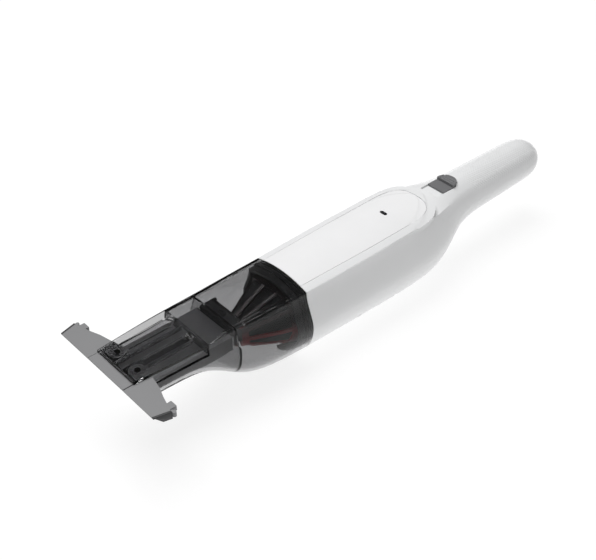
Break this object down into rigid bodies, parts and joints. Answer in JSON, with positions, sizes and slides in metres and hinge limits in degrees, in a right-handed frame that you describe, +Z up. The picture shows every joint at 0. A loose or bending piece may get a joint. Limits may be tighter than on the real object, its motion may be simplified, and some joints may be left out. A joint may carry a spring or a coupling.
{
  "type": "handheld vacuum",
  "caption": "Slim cordless handheld vacuum with a see-through slide-off dust bowl, a cone filter, a round handle and a flat nozzle with two fold-out wings.",
  "frame": {"origin": "middle of the object's box in plan, on the surface it lies on", "axes": "+Z up, -Y towards the nozzle, +Y towards the end of the handle, +X to the left hand of someone holding it"},
  "size_m": [0.1154, 0.44, 0.0757],
  "materials": {
    "housing_white": "satin",
    "panel_white": "gloss",
    "lens_dark": "gloss",
    "black_plastic": "satin",
    "switch_grey": "satin",
    "seal_rubber": "matt",
    "smoked_plastic": "clear",
    "wing_grey": "clear",
    "filter_red": "satin",
    "filter_cloth": "woven",
    "steel": "brushed",
    "magnet": "matt",
    "cell_wrap": "satin",
    "nickel": "satin",
    "board_green": "satin",
    "wire_red": "satin",
    "fan_plastic": "satin"
  },
  "bodies": {
    "housing": {"upper_housing": "housing_white", "lower_housing": "housing_white", "top_panel": "panel_white", "indicator_lens": "lens_dark", "front_bulkhead": "black_plastic", "bowl_gasket": "seal_rubber", "fan_shroud": "black_plastic", "motor_can": "steel", "motor_magnets": "magnet", "motor_end_bell": "black_plastic", "motor_mount": "black_plastic", "motor_screws": "steel", "battery_cells": "cell_wrap", "battery_tray": "black_plastic", "cell_straps": "nickel", "circuit_board": "board_green", "switch_block": "black_plastic", "charge_socket": "black_plastic", "power_leads": "wire_red", "housing_screws": "steel", "spring_bracket": "black_plastic", "release_spring": "steel"},
    "bowl": {"dust_bowl": "smoked_plastic", "nozzle_duct": "wing_grey", "flap_frame": "black_plastic", "flap_pin": "steel", "wing_pins": "steel"},
    "right_wing": {"wing_right": "wing_grey", "wing_cap_right": "black_plastic"},
    "left_wing": {"wing_left": "wing_grey", "wing_cap_left": "black_plastic"},
    "flap": {"inlet_flap": "seal_rubber"},
    "filter": {"filter_cage": "filter_red", "filter_cloth": "filter_cloth"},
    "switch": {"power_switch": "switch_grey"},
    "release_button": {"bowl_release_button": "housing_white"},
    "rotor": {"fan_wheel": "fan_plastic", "motor_shaft": "steel", "motor_armature": "magnet"}
  },
  "joints": [
    {"name": "bowl_slide", "type": "slide", "parent": "housing", "child": "bowl", "axis": [0, -1, 0], "range_m": [0, 0.2]},
    {"name": "filter_slide", "type": "slide", "parent": "housing", "child": "filter", "axis": [0, -1, 0], "range_m": [0, 0.09]},
    {"name": "right_wing_hinge", "type": "hinge", "parent": "bowl", "child": "right_wing", "pos_m": [0.0117, -0.2025, 0.0626], "axis": [0, 0, 1], "range_deg": [0, 95]},
    {"name": "left_wing_hinge", "type": "hinge", "parent": "bowl", "child": "left_wing", "pos_m": [-0.0117, -0.2025, 0.0626], "axis": [0, 0, -1], "range_deg": [0, 95]},
    {"name": "inlet_flap_hinge", "type": "hinge", "parent": "bowl", "child": "flap", "pos_m": [0, -0.1176, 0.0604], "axis": [1, 0, 0], "range_deg": [0, 45]},
    {"name": "power_switch_slide", "type": "slide", "parent": "housing", "child": "switch", "axis": [0, -1, 0], "range_m": [0, 0.007]},
    {"name": "release_button_press", "type": "slide", "parent": "housing", "child": "release_button", "axis": [0, 0, 1], "range_m": [0, 0.0025], "stiffness_N_per_m": 500, "springref_m": -0.002, "deforming": ["release_spring"]},
    {"name": "rotor_spin", "type": "hinge", "parent": "housing", "child": "rotor", "pos_m": [0, -0.0674, 0.0389], "axis": [0, 1, 0], "continuous": true}
  ],
  "couplings": [
    {"joint": "filter_slide", "follows": "bowl_slide", "ratio": 0.45}
  ]
}
